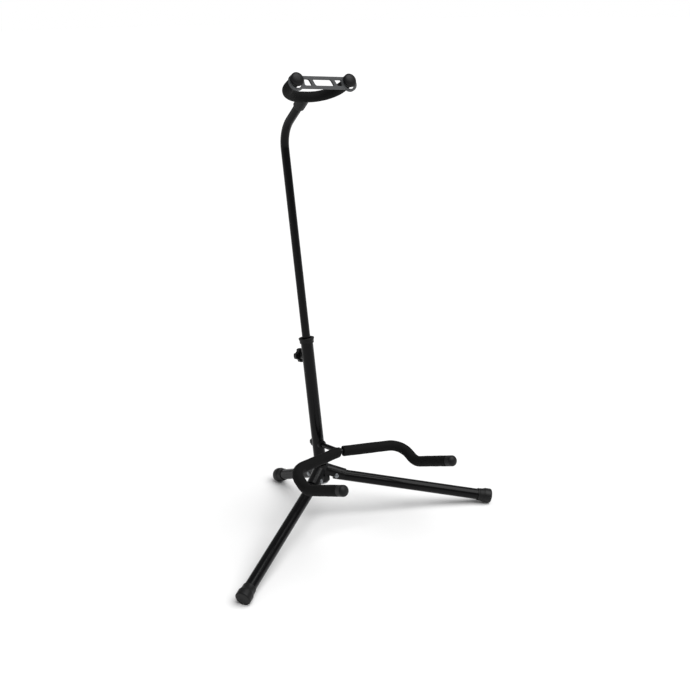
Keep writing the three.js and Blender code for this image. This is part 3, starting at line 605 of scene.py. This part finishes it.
def draw_foam(corners, radius, rod_radius, bend):
    """A foam sleeve on a bent rod: thick wall, soft rims and a slightly uneven skin."""
    foam = draw_rod(corners, radius, bend, sides=64, step=0.003)
    apply_modifier(foam, "SOLIDIFY", thickness=radius - rod_radius - FIT_GAP, offset=-1.0)
    round_edges(foam, 0.0014, 4)
    unevenness = bpy.data.textures.new("foam_unevenness", "CLOUDS")
    unevenness.noise_scale = 0.014
    apply_modifier(foam, "DISPLACE", texture=unevenness, texture_coords="LOCAL", mid_level=0.5,
                   strength=0.0007)
    return foam


foam_start = cross_middle + (corner - cross_middle).normalized() * BARE_ROD
for side, hand in (("right", Vector), ("left", mirrored)):
    foam = draw_foam([hand(place) for place in (foam_start, corner, arm_dip, cap_start)],
                     FOAM_RADIUS, ROD_RADIUS, CRADLE_BEND)
    fit_piece(foam, f"cradle_foam_{side}_sleeve", cradle, "mast", [f"cradle_foam_{side}"],
              closed_cell_foam)

# ---------------------------------------------------------------- cradle's end caps
# Rubber caps as thick as the foam, dipped smooth, with a rounded end.

cap = turn_shape([
    (ROD_RADIUS + FIT_GAP, CAP_LENGTH - CAP_DOME), (ROD_RADIUS + FIT_GAP, SEAT_GAP),
    (FOAM_RADIUS - 0.0006, SEAT_GAP), (FOAM_RADIUS, 0.0009), (FOAM_RADIUS, CAP_LENGTH - CAP_DOME),
    *dome(FOAM_RADIUS, CAP_LENGTH - CAP_DOME, CAP_DOME, steps=9),
])
for side, hand in (("right", Vector), ("left", mirrored)):
    tip_turn = hand(tip_way).to_track_quat("Z", "X").to_matrix().to_4x4()
    fit_piece(copy_of(cap), f"cradle_cap_{side}_rubber",
              cradle @ Matrix.Translation(hand(cap_start)) @ tip_turn, "mast",
              [f"cradle_cap_{side}"], moulded_rubber)
bpy.data.objects.remove(cap)

# ---------------------------------------------------------------- collar
# Nylon collar pressed over the top of the lower tube. Its rim flares, and its top is dished so
# that the upper tube enters it in a shallow cup.

COLLAR_BOTTOM = -0.0045
COLLAR_TOP = 0.0052
COLLAR_RADIUS = 0.0141
COLLAR_FLARE = 0.0015
COLLAR_BAND = 0.003
CUP_RADIUS = 0.0096
CUP_DEPTH = 0.0034
NECK_RADIUS = 0.0074

collar = turn_shape([(radius, tube_top + height) for radius, height in (
    (TUBE_RADIUS + FIT_GAP, COLLAR_BOTTOM), (COLLAR_RADIUS - COLLAR_FLARE, COLLAR_BOTTOM),
    (COLLAR_RADIUS - COLLAR_FLARE, COLLAR_BOTTOM + COLLAR_BAND),
    (COLLAR_RADIUS - 0.0009, COLLAR_BOTTOM + 2 * COLLAR_BAND),
    (COLLAR_RADIUS, COLLAR_TOP - 0.001), (COLLAR_RADIUS - 0.0008, COLLAR_TOP),
    (COLLAR_RADIUS - 0.0018, COLLAR_TOP), (CUP_RADIUS, COLLAR_TOP - 0.0026),
    (NECK_RADIUS + SEAT_GAP, COLLAR_TOP - CUP_DEPTH), (NECK_RADIUS + SEAT_GAP, SEAT_GAP),
    (TUBE_RADIUS + FIT_GAP, SEAT_GAP), (TUBE_RADIUS + FIT_GAP, COLLAR_BOTTOM),
)], capped=False)
round_edges(collar, 0.0003, 2)
fit_piece(collar, "tube_collar_moulding", mast, "mast", ["tube_collar"], plastic_moulding)

# ---------------------------------------------------------------- clamp boss and knob
# A threaded boss is welded to the back of the tube. A zinc-plated stud with a four-lobed nylon
# head screws through it onto the upper tube.

BOSS_RADIUS = 0.007
BOSS_ROOT = 0.008
BOSS_REACH = 0.017
STUD_START = 0.0077
STUD_THREAD_START = 0.0085
STUD_END = 0.0265
KNOB_RADIUS = 0.0125
KNOB_START = 0.022
KNOB_THICKNESS = 0.008
LOBE_DEPTH = 0.0032
SCALLOP_RADIUS = 0.0055
SOCKET_RADIUS = 0.0033
SOCKET_DEPTH = 0.005

knob_place = Matrix.Translation(Vector(joints["knob_turn"]["pos_m"]) - mast_back * KNOB_START) @ (
    mast_axes.to_4x4() @ lay_along_y)
boss = turn_shape([(BOSS_RADIUS, BOSS_ROOT), (BOSS_RADIUS, BOSS_REACH)])
boss.matrix_world = lay_along_y @ boss.matrix_world
cut_away(boss, turn_shape([(TUBE_RADIUS + 0.0001, -0.02), (TUBE_RADIUS + 0.0001, 0.02)]))
round_edges(boss, 0.0006)
fit_piece(boss, "clamp_boss_steel", knob_place @ lay_along_y.inverted(), "mast", ["clamp_boss"],
          gloss_powder_coat)

stud = turn_shape([(0.0022, STUD_START), (THREAD_RADIUS, STUD_THREAD_START),
                   *threaded(STUD_THREAD_START, STUD_END, THREAD_RADIUS)], sides=32)
fit_piece(stud, "knob_stud_steel", knob_place, "knob", ["knob_stud"], zinc_plate)

knob_end = KNOB_START + KNOB_THICKNESS
knob = turn_shape([
    (SOCKET_RADIUS, KNOB_START + SOCKET_DEPTH), (SOCKET_RADIUS, KNOB_START),
    (KNOB_RADIUS, KNOB_START), (KNOB_RADIUS, knob_end), (0.0072, knob_end), (0.0066, knob_end - 0.0006),
], sides=96)
for quarter in range(4):
    angle = math.radians(45 + 90 * quarter)
    reach = KNOB_RADIUS - LOBE_DEPTH + SCALLOP_RADIUS
    scallop = turn_shape([(SCALLOP_RADIUS, 0.018), (SCALLOP_RADIUS, 0.034)], sides=48)
    scallop.matrix_world = (
        Matrix.Translation((reach * math.cos(angle), reach * math.sin(angle), 0)) @ scallop.matrix_world)
    cut_away(knob, scallop)
round_edges(knob, 0.0011, 4)
fit_piece(knob, "knob_head_moulding", knob_place, "knob", ["knob_head"], plastic_moulding)

# ---------------------------------------------------------------- upper tube
# Slimmer steel tube that slides and turns in the lower one, bent forward at the top to carry
# the yoke. Its moulded bushing, steel ring and plug run inside the lower tube.

NECK_BEND = 0.055
NECK_BEND_ANGLE = math.radians(57)
YOKE_RISE = math.radians(19)
YOKE_ROLL = math.radians(-5.5)
STRAP_REACH = 0.0605
STRAP_DROP = 0.0032
TUBE_STOP = 0.0126
GLIDE_LENGTH = 0.016

neck_way = Vector((0, -math.sin(NECK_BEND_ANGLE), math.cos(NECK_BEND_ANGLE)))
yoke_turn = Matrix.Rotation(YOKE_ROLL, 4, neck_way) @ Matrix.Rotation(-YOKE_RISE, 4, "X")
strap_place = Matrix.Translation((0, -STRAP_REACH, -STRAP_DROP))
yoke_centre = mast.inverted() @ middle_of("neck_strap") - yoke_turn.to_3x3() @ strap_place.translation
yoke = mast @ Matrix.Translation(yoke_centre) @ yoke_turn

neck_run = -yoke_centre.y / math.sin(NECK_BEND_ANGLE)
neck_corner = Vector((0, 0, yoke_centre.z - neck_run * math.cos(NECK_BEND_ANGLE)))
neck_bottom = (Vector(joints["neck_swivel"]["pos_m"]) - hub_centre).dot(mast_up) - GLIDE_LENGTH / 2
neck = draw_tube([(0, 0, neck_bottom), neck_corner, neck_corner + neck_way * (neck_run - TUBE_STOP)],
                 NECK_RADIUS, TUBE_WALL, NECK_BEND)
fit_piece(neck, "neck_tube_steel", mast, "neck", ["neck_tube"], gloss_powder_coat)

for node, material in (("glide_bushing", plastic_moulding), ("neck_tube_plug", plastic_moulding),
                       ("glide_ring", zinc_plate)):
    faces = frame["nodes"][node].data
    faces.materials.clear()
    faces.materials.append(material)

# ---------------------------------------------------------------- neck yoke
# Solid bar bent into a U, with a spigot welded on that is pressed into the upper tube. It wears
# one foam sleeve all the way round, and a short rubber sleeve hides the joint with the tube.

YOKE_HALF_WIDTH = 0.048
YOKE_ARM = 0.0625
YOKE_BEND = 0.042
YOKE_ROD_RADIUS = 0.004
YOKE_FOAM_RADIUS = 0.0086
SPIGOT_RADIUS = 0.0059
SPIGOT_DEPTH = 0.026
BUTTON_NECK = 0.009
SLEEVE_OVERLAP = 0.012
RUBBER_SLEEVE_RADIUS = 0.0099


def yoke_line(reach):
    """The corners of the yoke's U, with arms that long."""
    return [Vector((side * YOKE_HALF_WIDTH, -arm, 0)) for side, arm in (
        (-1, reach), (-1, 0), (1, 0), (1, reach))]


spigot_way = yoke_turn.to_3x3().inverted() @ neck_way
lay_along_spigot = spigot_way.to_track_quat("Z", "X").to_matrix().to_4x4()
spigot = turn_shape([(SPIGOT_RADIUS, -TUBE_STOP - SPIGOT_DEPTH), (SPIGOT_RADIUS, 0)], sides=40)
spigot.matrix_world = lay_along_spigot @ spigot.matrix_world
yoke_bar = draw_rod(yoke_line(YOKE_ARM + 0.002), YOKE_ROD_RADIUS, YOKE_BEND, capped=True)
fit_piece(join_shapes(spigot, yoke_bar), "yoke_frame_steel", yoke, "neck", ["yoke_frame"],
          gloss_powder_coat)

yoke_foam = draw_foam(yoke_line(YOKE_ARM - BUTTON_NECK - SEAT_GAP), YOKE_FOAM_RADIUS, YOKE_ROD_RADIUS,
                      YOKE_BEND)
fit_piece(yoke_foam, "yoke_foam_sleeve", yoke, "neck", ["yoke_foam"], closed_cell_foam)

rubber_sleeve = turn_shape([
    (SPIGOT_RADIUS + FIT_GAP, -TUBE_STOP + SEAT_GAP), (NECK_RADIUS + FIT_GAP, -TUBE_STOP + SEAT_GAP),
    (NECK_RADIUS + FIT_GAP, -TUBE_STOP - SLEEVE_OVERLAP),
    (RUBBER_SLEEVE_RADIUS - 0.0005, -TUBE_STOP - SLEEVE_OVERLAP),
    (RUBBER_SLEEVE_RADIUS, -TUBE_STOP - SLEEVE_OVERLAP + 0.001), (RUBBER_SLEEVE_RADIUS, 0),
    (SPIGOT_RADIUS + FIT_GAP, 0), (SPIGOT_RADIUS + FIT_GAP, -TUBE_STOP + SEAT_GAP),
], capped=False)
rubber_sleeve.matrix_world = lay_along_spigot @ rubber_sleeve.matrix_world
cut_away(rubber_sleeve, draw_rod(yoke_line(0.05), YOKE_FOAM_RADIUS + 0.0001, YOKE_BEND, capped=True))
round_edges(rubber_sleeve, 0.0003, 2)
fit_piece(rubber_sleeve, "yoke_sleeve_rubber", yoke, "neck", ["yoke_sleeve"], moulded_rubber)

# ---------------------------------------------------------------- buttons
# Mushroom-headed rubber buttons pushed onto the ends of the yoke. The strap loops round their
# necks, and the domed heads keep it on.

BUTTON_RADIUS = 0.011
BUTTON_HEAD = 0.008
BUTTON_NECK_RADIUS = 0.006
BUTTON_SOCKET = 0.0022
BUTTON_RIM = 0.0028

button = turn_shape([
    (YOKE_ROD_RADIUS + FIT_GAP, BUTTON_SOCKET), (YOKE_ROD_RADIUS + FIT_GAP, -BUTTON_NECK),
    (BUTTON_NECK_RADIUS, -BUTTON_NECK), (BUTTON_NECK_RADIUS, 0.0),
    (BUTTON_RADIUS - 0.001, 0.0), (BUTTON_RADIUS - 0.0003, 0.0004), (BUTTON_RADIUS, 0.0012),
    (BUTTON_RADIUS, BUTTON_RIM), *dome(BUTTON_RADIUS, BUTTON_RIM, BUTTON_HEAD - BUTTON_RIM, steps=12),
], sides=72)
face_forwards = Matrix.Rotation(math.pi / 2, 4, "X")
for side, sign in (("right", 1), ("left", -1)):
    arm_end = Matrix.Translation((sign * YOKE_HALF_WIDTH, -YOKE_ARM, 0))
    fit_piece(copy_of(button), f"yoke_button_{side}_rubber", yoke @ arm_end @ face_forwards, "neck",
              [f"yoke_button_{side}"], moulded_rubber)
bpy.data.objects.remove(button)

# ---------------------------------------------------------------- strap
# Flat ladder of softer, greyer rubber, moulded in one piece: two rails joined by two slanting
# rungs, with an eyelet at each end. It keeps the neck in the yoke.

STRAP_THICKNESS = 0.0034
STRAP_WIDTH = 0.020
STRAP_RAIL = 0.0044
EYELET_RADIUS = 0.0135
EYELET_HOLE_RADIUS = 0.0095
RUNG_PLACE = 0.020
RUNG_WIDTH = 0.0055
RUNG_SLANT = 0.0045
WINDOW_CORNER = 0.0026

# Softer rubber filled with chalk, so it comes out of the mould grey and evenly dull.
strap_rubber = draw_finish(
    "moulded_grey_rubber", grain=0.0006, grain_depth=0.00003, patches=0.01,
    colours=("#27292b", "#303234"), roughness=(0.45, 0.55),
    sockets={"IOR": 1.52, "Specular IOR Level": 0.4})


def draw_plate(outline, thickness):
    """A flat plate, standing across the arms, from the corners of its outline."""
    start_shape(bpy.ops.mesh.primitive_circle_add, vertices=len(outline), radius=1.0, fill_type="NGON")
    plate = bpy.context.object
    bpy.ops.object.mode_set(mode="OBJECT")
    for vertex, (x, z) in zip(plate.data.vertices, outline):
        vertex.co = (x, -thickness / 2, z)
    bpy.ops.object.mode_set(mode="EDIT")
    bpy.ops.mesh.select_all(action="SELECT")
    extrude((0, thickness, 0))
    return close_shape()


def eyelet_disc(x, radius, thickness):
    """A round plate at one end of the strap."""
    turns = [math.radians(angle) for angle in range(0, 360, 6)]
    return draw_plate([(x + radius * math.cos(turn), radius * math.sin(turn)) for turn in turns], thickness)


strap = draw_plate([(-YOKE_HALF_WIDTH, -STRAP_WIDTH / 2), (YOKE_HALF_WIDTH, -STRAP_WIDTH / 2),
                    (YOKE_HALF_WIDTH, STRAP_WIDTH / 2), (-YOKE_HALF_WIDTH, STRAP_WIDTH / 2)], STRAP_THICKNESS)
for x in (-YOKE_HALF_WIDTH, YOKE_HALF_WIDTH):
    eyelet = eyelet_disc(x, EYELET_RADIUS, STRAP_THICKNESS)
    apply_modifier(strap, "BOOLEAN", operation="UNION", object=eyelet, solver="EXACT")
    bpy.data.objects.remove(eyelet)
for x in (-YOKE_HALF_WIDTH, YOKE_HALF_WIDTH):
    cut_away(strap, eyelet_disc(x, EYELET_HOLE_RADIUS, 2 * STRAP_THICKNESS))

window_top = STRAP_WIDTH / 2 - STRAP_RAIL
window_end = YOKE_HALF_WIDTH - EYELET_RADIUS
lean = RUNG_SLANT / 2
half_rung = RUNG_WIDTH / 2
for left, left_lean, right, right_lean in (
    (-window_end, 0, -RUNG_PLACE - half_rung, lean),
    (-RUNG_PLACE + half_rung, lean, RUNG_PLACE - half_rung, lean),
    (RUNG_PLACE + half_rung, lean, window_end, 0),
):
    window = draw_plate([(left + left_lean, -window_top), (right + right_lean, -window_top),
                         (right - right_lean, window_top), (left - left_lean, window_top)],
                        2 * STRAP_THICKNESS)
    round_edges(window, WINDOW_CORNER, 5)
    cut_away(strap, window)
round_edges(strap, 0.0006)
fit_piece(strap, "neck_strap_rubber", yoke @ strap_place, "neck", ["neck_strap"],
          strap_rubber)

# ---------------------------------------------------------------- floor, light and camera
# A plain white floor under one broad overhead light, in an evenly lit white room. The camera
# looks down a little from the front left of the stand.

FLOOR_SIZE = 80.0
FLOOR_DROP = 0.0002
ROOM_LIGHT = 0.32
OVERHEAD_LIGHT = 3.1
CAMERA_FROM_HUB = Vector((-0.8683, -1.2795, 0.8888))
CAMERA_AZIMUTH = math.radians(-35.91)
CAMERA_ELEVATION = math.radians(19.96)
CAMERA_ROLL = math.radians(-0.92)
CAMERA_LENS = 49.02

start_shape(bpy.ops.mesh.primitive_plane_add, size=FLOOR_SIZE, location=(0, 0, -FLOOR_DROP))
floor = close_shape()
floor.name = "floor"
# Emulsion rolled on a flat floor: quite matt, with a faint stipple about 2 mm across.
matt_white = draw_finish(
    "rolled_matt_white_paint", grain=0.002, grain_depth=0.00002, patches=0.5,
    colours=("#f4f4f4", "#f4f4f4"), roughness=(0.9, 0.9), sockets={"Specular IOR Level": 0.0})
floor.data.materials.append(matt_white)

# The room is seen as white, and lights the stand more dimly than the overhead light does.
world = bpy.data.worlds.new("studio")
bpy.context.scene.world = world
world.use_nodes = True
world.node_tree.nodes.clear()
seen_room = add_node(world, "ShaderNodeBackground", {"Color": linear("#ffffff"), "Strength": 1.0})
lit_room = add_node(world, "ShaderNodeBackground", {"Color": linear("#ffffff"), "Strength": ROOM_LIGHT})
ray = add_node(world, "ShaderNodeLightPath")
room = add_node(world, "ShaderNodeMixShader", {
    0: ray.outputs["Is Camera Ray"], 1: lit_room.outputs["Background"], 2: seen_room.outputs["Background"]})
add_node(world, "ShaderNodeOutputWorld", {"Surface": room.outputs["Shader"]})

bpy.ops.object.light_add(type="SUN", location=(0, 0, 3), rotation=(math.radians(24), math.radians(14), 0))
overhead = bpy.context.object
overhead.data.energy = OVERHEAD_LIGHT
overhead.data.angle = math.radians(60)

right_way = Vector((math.cos(CAMERA_AZIMUTH), math.sin(CAMERA_AZIMUTH), 0))
back_way = Vector((math.sin(CAMERA_AZIMUTH) * math.cos(CAMERA_ELEVATION),
                   -math.cos(CAMERA_AZIMUTH) * math.cos(CAMERA_ELEVATION), math.sin(CAMERA_ELEVATION)))
up_way = back_way.cross(right_way)
rolled_right = right_way * math.cos(CAMERA_ROLL) + up_way * math.sin(CAMERA_ROLL)
rolled_up = up_way * math.cos(CAMERA_ROLL) - right_way * math.sin(CAMERA_ROLL)
bpy.ops.object.camera_add()
camera = bpy.context.object
camera.data.lens = CAMERA_LENS
camera.data.clip_end = 200.0
camera_turn = Matrix((rolled_right, rolled_up, back_way)).transposed().to_4x4()
hub_on_floor = Vector((hub_centre.x, hub_centre.y, 0))
camera.matrix_world = Matrix.Translation(hub_on_floor + CAMERA_FROM_HUB) @ camera_turn
bpy.context.scene.camera = camera
bpy.context.scene.view_settings.view_transform = "Standard"
